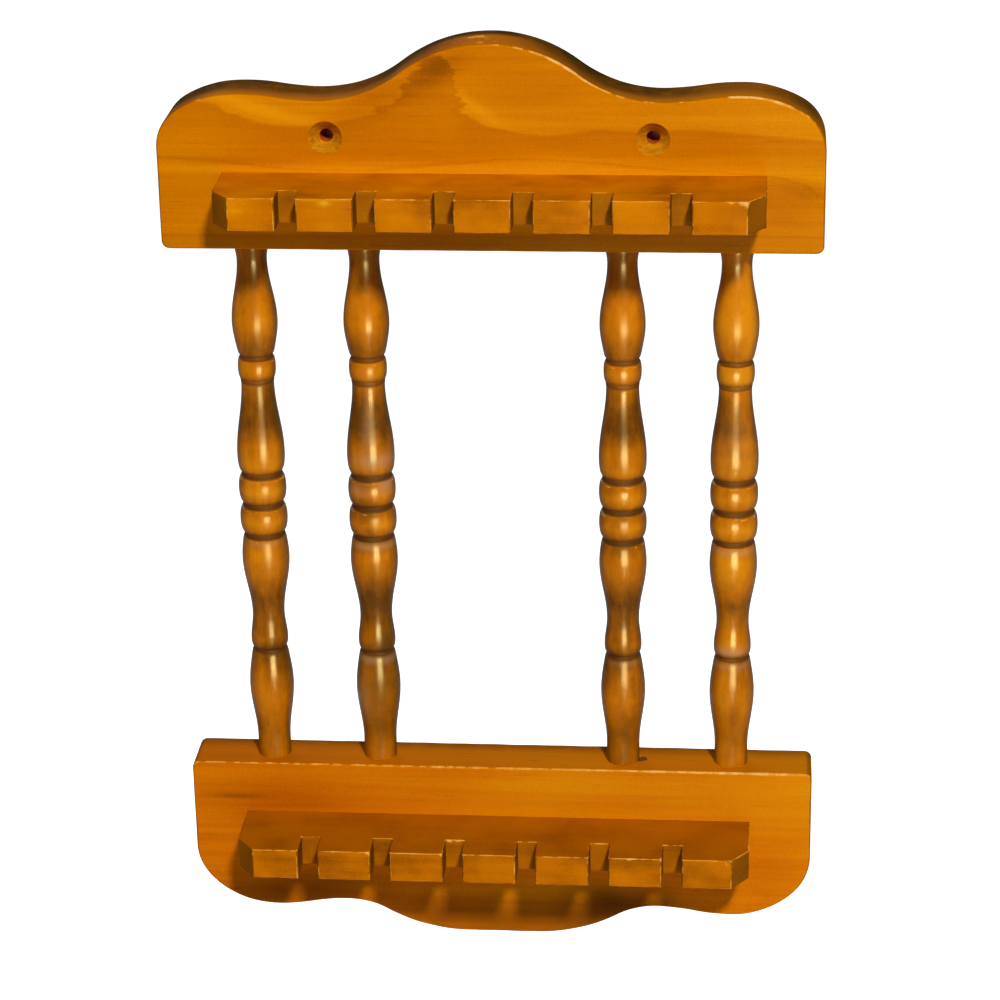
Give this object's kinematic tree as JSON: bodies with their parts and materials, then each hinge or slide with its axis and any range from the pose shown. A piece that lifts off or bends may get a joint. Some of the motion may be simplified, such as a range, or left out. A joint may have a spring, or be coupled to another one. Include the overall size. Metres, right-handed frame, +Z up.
{
  "type": "spoon rack",
  "caption": "Wall-hung wooden rack that holds spoons by their stems in notched shelf strips, with shaped rails joined by turned spindles.",
  "frame": {"origin": "midway between the two wall-screw holes, on the plane of the wall behind the rails", "axes": "+Z up, +X to the right along the rails seen from the room, +Y into the wall"},
  "size_m": [0.254, 0.0555, 0.3785],
  "materials": {
    "rail_pine": "amber varnish, satin",
    "comb_pine": "amber varnish, satin",
    "spindle_pine": "amber varnish, gloss",
    "screw_steel": "yellow zinc plate"
  },
  "bodies": {
    "root": {"top_rail": "rail_pine", "bottom_rail": "rail_pine", "upper_comb": "comb_pine", "lower_comb": "comb_pine", "spindle_outer_left": "spindle_pine", "spindle_inner_left": "spindle_pine", "spindle_inner_right": "spindle_pine", "spindle_outer_right": "spindle_pine", "upper_comb_screws": "screw_steel", "lower_comb_screws": "screw_steel"}
  },
  "joints": []
}
